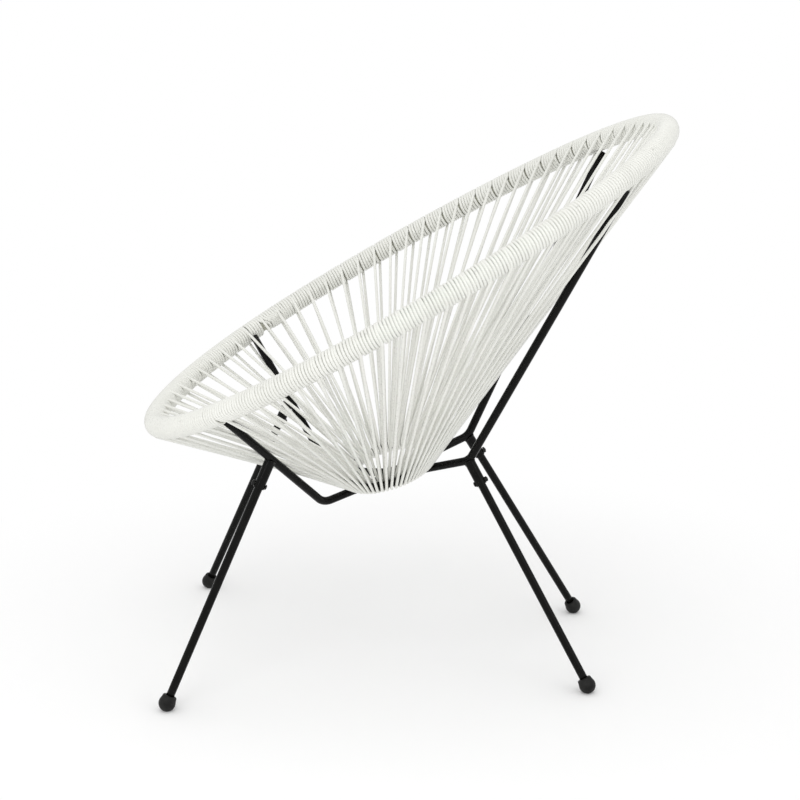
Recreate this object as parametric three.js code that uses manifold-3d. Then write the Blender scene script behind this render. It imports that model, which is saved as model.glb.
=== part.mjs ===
// String lounge chair. A tilted oval rim and a small hub ring are carried by two bent side rods,
// taut cord is strung between rim and hub as the seat, and four bolted legs stand on rubber feet.
// Millimetres. +Z is up, the chair faces -Y, its two halves mirror at x = 0, and the floor is z = 0.
import * as THREE from "three";
import { mergeVertices } from "three/addons/utils/BufferGeometryUtils.js";
import Module from "manifold-3d";

const wasm = await Module();
wasm.setup();

// Gap between pieces that touch on the chair
const seatClearance = 0.3;
// How far a cutting solid runs past what it cuts
const cutOverrun = 2;

// Rim: an oval of steel tube, lower at the front
const rimHalfWidth = 343;
const rimHalfLength = 453;
const rimTiltDegrees = 30.4;
const rimCentreHeight = 621;
const rimTubeRadius = 12;
const rimSides = 8;
const rimSquareShare = 0.019;
const rimFrontFullnessShare = 0.029;

// Hub: the small oval ring at the bottom of the seat, on which every strand turns
const hubHalfWidth = 106;
const hubHalfLength = 69;
const hubCentreY = -24.7;
const hubTubeRadius = 6;
const hubSides = 8;
const hubSteps = 40;

// Side rods: each is one bent bar from the rim's front, under the hub ring, up to the rim's back
const rodRadius = 6.35;
const rodSides = 10;
const rodBendSteps = 5;
const rodFrontRimDegrees = 45.35;
const rodRearRimDegrees = 142.1;
// Each rod end lies against the rim tube, turned by these angles from straight below towards the seat
const rodFrontTuckDegrees = 65;
const rodRearTuckDegrees = 23;
const rodFrontBend = new THREE.Vector3(84.7, -123.4, 274.2);
const rodWaistY = -21.9;
const rodWaistHeight = 295.8;
const rodRearBend = new THREE.Vector3(69.3, 101.2, 341.4);
const rodFrontBendRadius = 30;
const rodWaistBendRadius = 40;
const rodRearBendRadius = 28;

// Legs: straight bars, each held in a short sleeve that is welded to a side rod
const legRadius = 6.35;
const legWall = 1.5;
const legSides = 12;
const frontFootHalfSpread = 257.3;
const frontFootY = -348.3;
const rearFootHalfSpread = 166;
const rearFootY = 287.6;
const frontLegRodShare = 0.525;
const legFit = 0.3;
const legTopGap = 3;
const socketRadius = 8.35;
// How far below the rod's middle a sleeve ends, where it saddles the rod
const socketTopDrop = 5;
const frontSocketReach = 48;
const rearSocketReach = 44.5;

// Cross bolts: a round head on one side of the sleeve and a hexagon nut on the other
const boltRadius = 2.5;
const boltHeadRadius = 4.2;
const boltHeadHeight = 2.6;
const boltSetback = 5.2;
const boltTail = 0.8;
// The head's crown and its rounded edge, as shares of the head's size
const boltCrownWidthShare = 0.6;
const boltCrownHeightShare = 0.85;
const boltEdgeHeightShare = 0.3;
const boltSides = 10;
const nutAcrossFlats = 8;
const nutHeight = 3.4;
const boltFit = 0.3;

// Feet: domed rubber caps, flattened where they stand
const footRadius = 13;
const footTopRadius = 11;
const footShoulderHeight = 12;
const footEdgeRadius = 2.5;
const footEdgeShare = 0.3;
const footSocketDepth = 17;
const footPressDepth = 1;
const footSides = 14;
const footArcSteps = 4;
// Width of the block that cuts the foot level with the floor, as a share of the foot's radius
const floorSizeShare = 4;

// Seat cord: one plastic cord, wound round the rim between stations and strung to the hub at each
const cordDiameter = 4.75;
const cordSides = 4;
const stationCount = 75;
const stationsPerRun = 5;
const frontHubStations = 13;
const rearHubStations = 10;
const hubTurnSteps = 4;
const rimStrandOffset = 1.2;
const strandTuckDegrees = 32;
const strandTuckShare = 0.5;

// Room between a side rod and the cord's nearest turns on the hub ring
const rodCordGap = 1.4;

// Fineness of the searches that seat the hub ring on the rods
const hubCrossingSteps = 2000;
const hubSeatingPasses = 6;
const weldTolerance = 1e-4;

const TURN = 2 * Math.PI;

// Finishes
const frameFinish = { color: 0x1c1c1a, roughness: 0.25, metalness: 0.3 };
const cordFinish = { color: 0xe4e5df, roughness: 0.4, metalness: 0 };
const rubberFinish = { color: 0x161614, roughness: 0.6, metalness: 0 };
const fastenerFinish = { color: 0x222220, roughness: 0.35, metalness: 0.6 };

// A closed oval in a tilted plane, run from its front round the right side
class Oval extends THREE.Curve {
  constructor(halfWidth, halfLength, squareShare, fullnessShare, place) {
    super();
    this.halfWidth = halfWidth;
    this.halfLength = halfLength;
    this.squareShare = squareShare;
    this.fullnessShare = fullnessShare;
    this.place = place;
    this.arcLengthDivisions = 720;
  }

  getPoint(t, target = new THREE.Vector3()) {
    const angle = TURN * t;
    const bulge = this.squareShare * (Math.sin(3 * angle) + Math.sin(angle));
    const fullness = this.fullnessShare * Math.sin(2 * angle);
    const x = this.halfWidth * (Math.sin(angle) + bulge + fullness);
    const y = -this.halfLength * Math.cos(angle);
    return target.set(x, y, 0).applyMatrix4(this.place);
  }
}

function tiltedPlane(centreY, centreHeight, tiltDegrees) {
  const tilt = new THREE.Matrix4().makeRotationX(THREE.MathUtils.degToRad(tiltDegrees));
  return tilt.setPosition(0, centreY, centreHeight);
}

const rimPlane = tiltedPlane(0, rimCentreHeight, rimTiltDegrees);
const rimCurve = new Oval(rimHalfWidth, rimHalfLength, rimSquareShare, rimFrontFullnessShare, rimPlane);
const rimNormal = new THREE.Vector3(0, 0, 1).transformDirection(rimPlane);

// A three.js geometry as a solid, and a solid as a geometry
function toSolid(geometry) {
  const bare = geometry.clone();
  bare.deleteAttribute("normal");
  bare.deleteAttribute("uv");
  const merged = mergeVertices(bare, weldTolerance);
  return new wasm.Manifold(
    new wasm.Mesh({
      numProp: 3,
      vertProperties: new Float32Array(merged.attributes.position.array),
      triVerts: new Uint32Array(merged.index.array),
    }),
  );
}

function toGeometry(solid) {
  const mesh = solid.getMesh();
  const geometry = new THREE.BufferGeometry();
  geometry.setAttribute("position", new THREE.BufferAttribute(mesh.vertProperties, 3));
  geometry.setIndex(new THREE.BufferAttribute(mesh.triVerts, 1));
  const flat = geometry.toNonIndexed();
  flat.computeVertexNormals();
  return flat;
}

function makeMesh(name, geometry, finish) {
  const mesh = new THREE.Mesh(geometry, new THREE.MeshStandardMaterial(finish));
  mesh.name = name;
  return mesh;
}

// Rings of points joined into one closed skin. A closed loop joins its last ring to its first.
function skin(rings, closed) {
  const sides = rings[0].length;
  const positions = rings.flat().flatMap((p) => [p.x, p.y, p.z]);
  const faces = [];
  const spans = closed ? rings.length : rings.length - 1;
  for (let i = 0; i < spans; i++) {
    const here = i * sides;
    const next = ((i + 1) % rings.length) * sides;
    for (let k = 0; k < sides; k++) {
      const l = (k + 1) % sides;
      faces.push(here + k, next + l, here + l, here + k, next + k, next + l);
    }
  }
  if (!closed) {
    const last = (rings.length - 1) * sides;
    for (let k = 1; k < sides - 1; k++) {
      faces.push(0, k, k + 1, last, last + k + 1, last + k);
    }
  }
  const geometry = new THREE.BufferGeometry();
  geometry.setAttribute("position", new THREE.Float32BufferAttribute(positions, 3));
  geometry.setIndex(faces);
  return geometry;
}

// One ring of a round section, facing along forward, with its first corner halfway round a side from up
function sectionRing(centre, forward, up, radius, sides) {
  const across = new THREE.Vector3().crossVectors(forward, up).normalize();
  const over = new THREE.Vector3().crossVectors(across, forward).normalize();
  const ring = [];
  for (let k = 0; k < sides; k++) {
    const angle = (TURN * (k + 1 / 2)) / sides;
    const spoke = over.clone().multiplyScalar(Math.cos(angle)).addScaledVector(across, -Math.sin(angle));
    ring.push(centre.clone().addScaledVector(spoke, radius));
  }
  return ring;
}

// A round bar along points, mitred at each corner, with its two ends drawn in to a share of its radius
function barAlong(points, radius, sides, up, endShare = 1) {
  const runs = points.slice(1).map((p, i) => p.clone().sub(points[i]).normalize());
  let over = up.clone();
  const rings = points.map((point, i) => {
    const before = runs[Math.max(i - 1, 0)];
    const after = runs[Math.min(i, runs.length - 1)];
    const across = new THREE.Vector3().crossVectors(before, over).normalize();
    over = new THREE.Vector3().crossVectors(across, before).normalize();
    const mitre = before.clone().add(after).normalize();
    const isEnd = i === 0 || i === points.length - 1;
    const ring = sectionRing(point, before, over, isEnd ? radius * endShare : radius, sides);
    const turned = ring.map((corner) => {
      const offset = corner.clone().sub(point);
      return corner.addScaledVector(before, -offset.dot(mitre) / before.dot(mitre));
    });
    return turned;
  });
  return skin(rings, false);
}

// Points along straight runs whose corners are rounded, with steps on the bends only
function roundedPath(corners, radii, steps) {
  const path = [corners[0].clone()];
  corners.slice(1, -1).forEach((corner, i) => {
    const back = corners[i].clone().sub(corner).normalize();
    const on = corners[i + 2].clone().sub(corner).normalize();
    const half = back.angleTo(on) / 2;
    const reach = radii[i] / Math.tan(half);
    const centre = back.clone().add(on).normalize().multiplyScalar(radii[i] / Math.sin(half)).add(corner);
    const start = corner.clone().addScaledVector(back, reach).sub(centre);
    const end = corner.clone().addScaledVector(on, reach).sub(centre);
    const axis = new THREE.Vector3().crossVectors(start, end).normalize();
    for (let k = 0; k <= steps; k++) {
      path.push(start.clone().applyAxisAngle(axis, (start.angleTo(end) * k) / steps).add(centre));
    }
  });
  path.push(corners[corners.length - 1].clone());
  return path;
}

// The middle of a rounded bend, at a corner between two straight runs
function bendMiddle(before, corner, after, radius) {
  const back = before.clone().sub(corner).normalize();
  const on = after.clone().sub(corner).normalize();
  const inset = radius / Math.sin(back.angleTo(on) / 2) - radius;
  return back.add(on).normalize().multiplyScalar(inset).add(corner);
}

function mirrored(point) {
  return new THREE.Vector3(-point.x, point.y, point.z);
}

// The rim's own directions at a share of its length: along it, and inward in its plane
function rimFrame(share) {
  const wrapped = share - Math.floor(share);
  const point = rimCurve.getPointAt(wrapped);
  const along = rimCurve.getTangentAt(wrapped);
  const inward = new THREE.Vector3().crossVectors(rimNormal, along).normalize();
  return { point, along, inward };
}

function rimTube(radius) {
  const rings = [];
  for (let i = 0; i < stationCount; i++) {
    const { point, along } = rimFrame((i + 1 / 2) / stationCount);
    rings.push(sectionRing(point, along, rimNormal, radius, rimSides));
  }
  return skin(rings, true);
}

// The share of the rim's length at an angle round it from its front
function rimAngleShare(degrees) {
  const wanted = degrees / 360;
  const lengths = rimCurve.getLengths();
  const index = wanted * rimCurve.arcLengthDivisions;
  const below = Math.floor(index);
  const length = THREE.MathUtils.lerp(lengths[below], lengths[below + 1], index - below);
  return length / lengths[lengths.length - 1];
}

// The middle of a right side rod's end, against the rim tube's skin
function rodEnd(rimDegrees, tuckDegrees) {
  const { point, inward } = rimFrame(rimAngleShare(rimDegrees));
  const tuck = THREE.MathUtils.degToRad(tuckDegrees);
  const reach = rimTubeRadius + rodRadius + seatClearance;
  point.addScaledVector(rimNormal, -reach * Math.cos(tuck));
  return point.addScaledVector(inward, reach * Math.sin(tuck));
}

// A side rod's ends and bends, as the corners of its straight runs
function rodCorners(side) {
  const frontEnd = rodEnd(rodFrontRimDegrees, rodFrontTuckDegrees);
  const rearEnd = rodEnd(rodRearRimDegrees, rodRearTuckDegrees);
  const waist = new THREE.Vector3(rodRadius + seatClearance / 2, rodWaistY, rodWaistHeight);
  const corners = [frontEnd, rodFrontBend, waist, rodRearBend, rearEnd];
  return side > 0 ? corners : corners.map(mirrored);
}

// Where a straight run of the right side rod passes under an oval, as a share of the oval's length
function crossingShare(oval, from, to) {
  const span = to.clone().sub(from).setZ(0);
  const run = span.clone().normalize();
  let share = 0;
  let nearest = Infinity;
  for (let i = 0; i <= hubCrossingSteps; i++) {
    const trial = i / hubCrossingSteps / 2;
    const off = oval.getPointAt(trial).sub(from).setZ(0);
    const miss = off.clone().cross(run).length();
    if (off.dot(run) >= 0 && off.dot(run) <= span.length() && miss < nearest) {
      nearest = miss;
      share = trial;
    }
  }
  return share;
}

// The hub ring's plane, found by laying the ring on both runs of the right side rod in turn
function hubRestingPlane() {
  const [, frontBend, waist, rearBend] = rodCorners(1);
  const hubApothem = hubTubeRadius * Math.cos(Math.PI / hubSides);
  let tilt = 0;
  let centreHeight = waist.z;
  for (let pass = 0; pass < hubSeatingPasses; pass++) {
    const oval = new Oval(hubHalfWidth, hubHalfLength, 0, 0, tiltedPlane(hubCentreY, centreHeight, tilt));
    const rests = [
      [frontBend, waist],
      [waist, rearBend],
    ].map(([from, to]) => {
      const share = crossingShare(oval, from, to);
      const point = oval.getPointAt(share);
      const run = to.clone().sub(from).normalize();
      const upright = new THREE.Vector3().crossVectors(run, oval.getTangentAt(share)).normalize();
      const along = point.clone().sub(from).setZ(0).length() / to.clone().sub(from).setZ(0).length();
      const rodHeight = THREE.MathUtils.lerp(from.z, to.z, along);
      const rise = (hubApothem + rodRadius + seatClearance) / Math.abs(upright.z);
      return { y: point.y, z: rodHeight + rise };
    });
    const slope = (rests[1].z - rests[0].z) / (rests[1].y - rests[0].y);
    tilt = THREE.MathUtils.radToDeg(Math.atan(slope));
    centreHeight = rests[0].z + slope * (hubCentreY - rests[0].y);
  }
  return tiltedPlane(hubCentreY, centreHeight, tilt);
}

const hubPlane = hubRestingPlane();
const hubCurve = new Oval(hubHalfWidth, hubHalfLength, 0, 0, hubPlane);
const hubNormal = new THREE.Vector3(0, 0, 1).transformDirection(hubPlane);

function hubTube(radius) {
  const rings = [];
  for (let i = 0; i < hubSteps; i++) {
    const point = hubCurve.getPointAt(i / hubSteps);
    const along = hubCurve.getTangentAt(i / hubSteps);
    rings.push(sectionRing(point, along, hubNormal, radius, hubSides));
  }
  return skin(rings, true);
}

const rodRadii = [rodFrontBendRadius, rodWaistBendRadius, rodRearBendRadius];

// One side rod, from its rim end at the front to its rim end at the back
function rodBar(side, radius) {
  const path = roundedPath(rodCorners(side), rodRadii, rodBendSteps);
  return toSolid(barAlong(path, radius, rodSides, new THREE.Vector3(0, -1, 1).normalize()));
}

// The same place on the hub ring, with the share of the ring that the rod's width takes on each side
function hubCrossing(from, to) {
  const share = crossingShare(hubCurve, from, to);
  const run = to.clone().sub(from).setZ(0).normalize();
  const along = hubCurve.getTangentAt(share).setZ(0).normalize();
  const room = (rodRadius + cordDiameter / 2 + rodCordGap) / along.cross(run).length();
  return { share, margin: room / hubCurve.getLength() };
}

// Places of the cord's turns round the hub ring, as shares of its length, clear of the side rods.
// The first is at the front's middle, and none is at the back's middle.
function hubStationShares() {
  const [, frontBend, waist, rearBend] = rodCorners(1);
  const front = hubCrossing(frontBend, waist);
  const rear = hubCrossing(waist, rearBend);
  const frontCount = (frontHubStations - 1) / 2;
  const rearCount = rearHubStations / 2;
  const sideCount = (stationCount - frontHubStations - rearHubStations) / 2;
  const half = [];
  for (let k = 1; k <= frontCount; k++) {
    half.push(((front.share - front.margin) * k) / frontCount);
  }
  const sideStart = front.share + front.margin;
  const sideEnd = rear.share - rear.margin;
  for (let k = 0; k < sideCount; k++) {
    half.push(THREE.MathUtils.lerp(sideStart, sideEnd, k / (sideCount - 1)));
  }
  for (let k = rearCount - 1; k >= 0; k--) {
    half.push(1 / 2 - ((1 / 2 - rear.share - rear.margin) * (k + 1 / 2)) / (rearCount - 1 / 2));
  }
  return [0, ...half, ...half.map((share) => 1 - share).reverse()];
}

const hubShares = hubStationShares();
const wrapRadius = rimTubeRadius + seatClearance + cordDiameter;
// Corner radius and half-width of the faceted cord, whose section has the round cord's area
const cordCornerRadius = (cordDiameter / 2) * Math.sqrt(TURN / cordSides / Math.sin(TURN / cordSides));
const cordHalfWidth = cordCornerRadius * Math.cos(Math.PI / cordSides);

const rodPaths = [1, -1].map((side) => roundedPath(rodCorners(side), rodRadii, rodBendSteps));

// The corner that takes a taut strand round a side rod which it would pass through, if there is one
function strandCornerAtRod(from, to, path) {
  const strand = new THREE.Line3(from, to);
  const reach = rodRadius + seatClearance + cordCornerRadius;
  let nearest = reach;
  let corner = null;
  path.slice(1).forEach((end, i) => {
    const onStrand = new THREE.Vector3();
    const onRod = new THREE.Vector3();
    const gap = Math.sqrt(strand.distanceSqToLine3(new THREE.Line3(path[i], end), onStrand, onRod));
    if (gap < nearest && !onStrand.equals(from) && !onStrand.equals(to)) {
      nearest = gap;
      corner = onRod.clone().addScaledVector(onStrand.sub(onRod).normalize(), reach);
    }
  });
  return corner ? [corner] : [];
}

// The cord at one station: from the rim's seat side to the hub, round the hub ring, and back under the seat
function stationRoute(station) {
  const { point: rimPoint, along: rimAlong } = rimFrame(station / stationCount);
  const hubPoint = hubCurve.getPointAt(hubShares[station]);
  const hubAlong = hubCurve.getTangentAt(hubShares[station]);
  const outward = rimPoint.clone().sub(hubPoint).normalize();
  const rimOver = new THREE.Vector3().crossVectors(outward, rimAlong).normalize();
  const hubOver = new THREE.Vector3().crossVectors(outward, hubAlong).normalize();
  const hubOutward = new THREE.Vector3().crossVectors(hubAlong, hubOver);
  const rimReach = rimTubeRadius + seatClearance + cordHalfWidth;
  const hubReach = hubTubeRadius + seatClearance + cordHalfWidth;
  const cornerReach = hubReach / Math.cos(Math.PI / 2 / hubTurnSteps);
  const rimOutward = new THREE.Vector3().crossVectors(rimAlong, rimOver);
  const tuck = THREE.MathUtils.degToRad(strandTuckDegrees);
  const rimEnd = (over) => {
    const end = rimPoint.clone().addScaledVector(rimOver, over * rimReach * Math.cos(tuck));
    end.addScaledVector(rimOutward, -rimReach * Math.sin(tuck));
    return end.addScaledVector(rimAlong, over * rimStrandOffset);
  };
  const turn = [];
  for (let k = 0; k < hubTurnSteps; k++) {
    const angle = Math.PI / 2 + (Math.PI * (k + 1 / 2)) / hubTurnSteps;
    const corner = hubPoint.clone().addScaledVector(hubOutward, cornerReach * Math.cos(angle));
    turn.push(corner.addScaledVector(hubOver, cornerReach * Math.sin(angle)));
  }
  const top = rimEnd(1);
  const bottom = rimEnd(-1);
  const aboveRods = rodPaths.flatMap((path) => strandCornerAtRod(top, turn[0], path));
  const belowRods = rodPaths.flatMap((path) => strandCornerAtRod(turn[turn.length - 1], bottom, path));
  return { route: [top, ...aboveRods, ...turn, ...belowRods, bottom], over: hubOver };
}

// The wound cover on one run's stretch of the rim, as a sleeve. Its skin goes along the outside and back
// through the bore, which follows the rim tube's own facets.
function wrapSleeve(firstStation) {
  const boreRadius = rimTubeRadius + seatClearance;
  const trim = seatClearance / 2 / rimCurve.getLength();
  const shares = [];
  for (let k = 0; k <= stationsPerRun; k++) {
    shares.push((firstStation + k - 1 / 2) / stationCount);
  }
  shares[0] += trim;
  shares[stationsPerRun] -= trim;
  const ringAt = (share, radius) => {
    const { point, along } = rimFrame(share);
    return sectionRing(point, along, rimNormal, radius, rimSides);
  };
  const outside = shares.map((share) => ringAt(share, wrapRadius));
  const bore = shares.map((share) => ringAt(share, boreRadius)).reverse();
  return toSolid(skin([...outside, ...bore], true));
}

// Directions and length of a leg, from its foot's centre up to its place on a side rod
function legLine(side, end) {
  const [frontEnd, frontBend, waist, rearBend, rearEnd] = rodCorners(side);
  const isFront = end === "front";
  const top = isFront
    ? frontBend.clone().lerp(frontEnd, frontLegRodShare)
    : bendMiddle(waist, rearBend, rearEnd, rodRearBendRadius);
  const spread = isFront ? frontFootHalfSpread : rearFootHalfSpread;
  const footY = isFront ? frontFootY : rearFootY;
  const foot = new THREE.Vector3(side * spread, footY, footRadius - footPressDepth);
  return { top, foot, up: top.clone().sub(foot).normalize(), length: top.distanceTo(foot) };
}

// A group at the top of a leg: its Z runs up the leg and its Y runs through the cross bolt
function legGroup(name, line) {
  const across = new THREE.Vector3(1, 0, 0).addScaledVector(line.up, -line.up.x).normalize();
  const through = new THREE.Vector3().crossVectors(line.up, across);
  const group = new THREE.Group();
  group.name = name;
  group.quaternion.setFromRotationMatrix(new THREE.Matrix4().makeBasis(across, through, line.up));
  group.position.copy(line.top);
  group.updateMatrixWorld(true);
  return group;
}

// Profiles are turned about the leg's own axis, with height along the leg
function turned(profile, sides) {
  const points = profile.map(([radius, height]) => new THREE.Vector2(radius, height));
  const geometry = new THREE.LatheGeometry(points, sides);
  geometry.rotateX(Math.PI / 2);
  return toSolid(geometry);
}

function tube(outerRadius, innerRadius, bottom, top, sides) {
  const profile = [
    [innerRadius, bottom],
    [outerRadius, bottom],
    [outerRadius, top],
    [innerRadius, top],
    [innerRadius, bottom],
  ];
  return turned(profile, sides);
}

// A bar across the leg at a height on it, as a cutter for the bolt's holes
function boltCutter(height) {
  const reach = (socketRadius + cutOverrun) * 2;
  const geometry = new THREE.CylinderGeometry(boltRadius + boltFit, boltRadius + boltFit, reach, boltSides);
  geometry.translate(0, 0, height);
  return toSolid(geometry);
}

function localSolid(solid, group) {
  const inverse = group.matrixWorld.clone().invert();
  return toSolid(toGeometry(solid).applyMatrix4(inverse));
}

function legBar(line, boltHeight) {
  const top = -(rodRadius + legTopGap);
  const bottom = -line.length + footShoulderHeight - footSocketDepth + seatClearance;
  return tube(legRadius, legRadius - legWall, bottom, top, legSides).subtract(boltCutter(boltHeight));
}

function legSocket(reach, boltHeight, rodCutter) {
  const sleeve = tube(socketRadius, legRadius + legFit, -reach, -socketTopDrop, legSides);
  return sleeve.subtract(boltCutter(boltHeight)).subtract(rodCutter);
}

// The bolt's profile runs from the head's crown to the tail, and is laid along the leg's Y
function legBolt() {
  const seat = socketRadius + seatClearance;
  const tail = -(seat + nutHeight + boltTail);
  const profile = [
    [0, seat + boltHeadHeight],
    [boltHeadRadius * boltCrownWidthShare, seat + boltHeadHeight * boltCrownHeightShare],
    [boltHeadRadius, seat + boltHeadHeight * boltEdgeHeightShare],
    [boltHeadRadius, seat],
    [boltRadius, seat],
    [boltRadius, tail],
    [0, tail],
  ].reverse();
  const points = profile.map(([radius, height]) => new THREE.Vector2(radius, height));
  return toSolid(new THREE.LatheGeometry(points, boltSides));
}

function legNut() {
  const outline = new THREE.Shape();
  for (let k = 0; k < 6; k++) {
    const angle = (TURN * k) / 6;
    const reach = nutAcrossFlats / 2 / Math.cos(Math.PI / 6);
    outline[k ? "lineTo" : "moveTo"](reach * Math.cos(angle), reach * Math.sin(angle));
  }
  outline.closePath();
  const hole = new THREE.Path().absarc(0, 0, boltRadius + boltFit, 0, TURN, true);
  outline.holes.push(hole);
  const geometry = new THREE.ExtrudeGeometry(outline, {
    depth: nutHeight,
    bevelEnabled: false,
    curveSegments: boltSides / 2,
  });
  geometry.rotateX(Math.PI / 2);
  geometry.translate(0, -(socketRadius + seatClearance), 0);
  return toSolid(geometry);
}

// The foot's centre is the centre of its dome. Its top is narrower and its edge is rounded.
function foot(line, group) {
  const profile = [];
  for (let k = 0; k <= footArcSteps; k++) {
    const angle = ((k / footArcSteps - 1) * Math.PI) / 2;
    profile.push([footRadius * Math.cos(angle), footRadius * Math.sin(angle)]);
  }
  profile.push([footTopRadius, footShoulderHeight - footEdgeRadius]);
  const cornerCut = footEdgeRadius * footEdgeShare;
  profile.push([footTopRadius - cornerCut, footShoulderHeight - cornerCut]);
  profile.push([footTopRadius - footEdgeRadius, footShoulderHeight]);
  profile.push([legRadius + seatClearance, footShoulderHeight]);
  profile.push([legRadius + seatClearance, footShoulderHeight - footSocketDepth]);
  profile.push([0, footShoulderHeight - footSocketDepth]);
  profile[0][0] = 0;
  const lowered = profile.map(([radius, height]) => [radius, height - line.length]);
  const floorSize = footRadius * floorSizeShare;
  const floor = new THREE.BoxGeometry(floorSize, floorSize, floorSize);
  floor.translate(line.foot.x, line.foot.y, -floorSize / 2);
  return turned(lowered, footSides).subtract(localSolid(toSolid(floor), group));
}

function buildLeg(side, end) {
  const name = `${end}_${side > 0 ? "right" : "left"}`;
  const line = legLine(side, end);
  const group = legGroup(`${name}_leg_group`, line);
  const reach = end === "front" ? frontSocketReach : rearSocketReach;
  const boltHeight = -(reach - boltSetback);
  const rodCutter = localSolid(rodBar(side, rodRadius + seatClearance), group);
  const bolt = makeMesh(`${name}_leg_bolt`, toGeometry(legBolt()), fastenerFinish);
  const nut = makeMesh(`${name}_leg_nut`, toGeometry(legNut()), fastenerFinish);
  for (const fastener of [bolt, nut]) {
    fastener.position.z = boltHeight;
    // The nut is on the outer face of each leg, so a rear leg's bolt is turned round
    fastener.rotation.z = end === "front" ? 0 : Math.PI;
  }
  group.add(
    makeMesh(`${name}_leg`, toGeometry(legBar(line, boltHeight)), frameFinish),
    makeMesh(`${name}_leg_socket`, toGeometry(legSocket(reach, boltHeight, rodCutter)), frameFinish),
    makeMesh(`${name}_foot`, toGeometry(foot(line, group)), rubberFinish),
    bolt,
    nut,
  );
  return group;
}

function buildFrame() {
  const group = new THREE.Group();
  const rimCutter = toSolid(rimTube(rimTubeRadius + seatClearance));
  group.add(makeMesh("rim_tube", toGeometry(toSolid(rimTube(rimTubeRadius))), frameFinish));
  group.add(makeMesh("hub_ring", toGeometry(toSolid(hubTube(hubTubeRadius))), frameFinish));
  for (const side of [1, -1]) {
    const bar = rodBar(side, rodRadius).subtract(rimCutter);
    group.add(makeMesh(`side_rod_${side > 0 ? "right" : "left"}`, toGeometry(bar), frameFinish));
  }
  return group;
}

function buildSeat() {
  const group = new THREE.Group();
  const rodCutters = [1, -1].map((side) => rodBar(side, rodRadius + seatClearance));
  for (let i = 0; i < stationCount / stationsPerRun; i++) {
    // The first run is centred on the front's middle
    const first = i * stationsPerRun - (stationsPerRun - 1) / 2;
    let run = wrapSleeve(first);
    for (let k = 0; k < stationsPerRun; k++) {
      const { route, over } = stationRoute((first + k + stationCount) % stationCount);
      run = run.add(toSolid(barAlong(route, cordCornerRadius, cordSides, over, strandTuckShare)));
    }
    for (const cutter of rodCutters) {
      run = run.subtract(cutter);
    }
    const number = String(i + 1).padStart(2, "0");
    group.add(makeMesh(`seat_cord_run_${number}`, toGeometry(run), cordFinish));
  }
  return group;
}

const chair = new THREE.Group();
chair.name = "string_lounge_chair";
chair.add(buildFrame(), buildSeat());
for (const side of [1, -1]) {
  for (const end of ["front", "rear"]) {
    chair.add(buildLeg(side, end));
  }
}

export default chair;
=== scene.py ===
"""Looks for the string lounge chair: the wound and strung cord, the painted frame and the studio.

Sizes are in millimetres, and new_object turns them into metres, in the CAD model's frame. The
chair faces -Y. The left half of its frame mirrors the right half at x = 0.
"""

import math

import bpy
from mathutils import Matrix, Vector
from mathutils.geometry import intersect_line_line


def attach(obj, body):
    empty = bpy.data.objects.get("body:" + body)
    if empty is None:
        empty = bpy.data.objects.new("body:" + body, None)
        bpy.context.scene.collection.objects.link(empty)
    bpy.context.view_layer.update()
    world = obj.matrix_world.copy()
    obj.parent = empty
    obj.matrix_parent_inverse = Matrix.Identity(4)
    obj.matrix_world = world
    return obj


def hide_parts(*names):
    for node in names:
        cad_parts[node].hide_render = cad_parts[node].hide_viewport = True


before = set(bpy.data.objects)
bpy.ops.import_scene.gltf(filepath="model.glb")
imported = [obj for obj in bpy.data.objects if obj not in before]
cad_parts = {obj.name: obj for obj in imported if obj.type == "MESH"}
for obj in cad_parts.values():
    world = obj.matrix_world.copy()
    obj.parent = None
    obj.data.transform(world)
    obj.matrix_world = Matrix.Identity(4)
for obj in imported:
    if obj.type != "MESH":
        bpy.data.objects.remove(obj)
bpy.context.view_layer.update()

MM = 0.001
TURN = 2 * math.pi
# The frame's two sides: the sign of x, and the word in the names of their pieces
SIDES = ((1, "right"), (-1, "left"))

# The rim, hub ring and rods, with the same sizes as in the CAD model
RIM_HALF_WIDTH, RIM_HALF_LENGTH, RIM_TILT, RIM_HEIGHT = 343.0, 453.0, 30.4, 621.0
RIM_SQUARE, RIM_FULLNESS, RIM_TUBE = 0.019, 0.029, 12.0
HUB_HALF_WIDTH, HUB_HALF_LENGTH, HUB_Y, HUB_TUBE = 106.0, 69.0, -24.7, 6.0
ROD, CORD = 6.35, 4.75
ROD_FRONT_DEGREES, ROD_REAR_DEGREES = 45.35, 142.1
ROD_FRONT_TUCK, ROD_REAR_TUCK = 65.0, 23.0
GAP = 0.3
FRONT_BEND = Vector((84.7, -123.4, 274.2))
WAIST = Vector((6.5, -21.9, 295.8))
REAR_BEND = Vector((69.3, 101.2, 341.4))
BEND_RADII = (30.0, 40.0, 28.0)
STATIONS, STATIONS_PER_RUN = 75, 5
FRONT_HUB_STATIONS, REAR_HUB_STATIONS = 13, 10
ROD_CORD_GAP = 1.4
# How the hub ring is laid on the rods: the passes, the places tried for each crossing, and the
# sides of the CAD model's ring, which rests on one of them
HUB_SEATING_PASSES, CROSSING_STEPS, HUB_FLATS = 6, 2000, 8


# Curves

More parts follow.
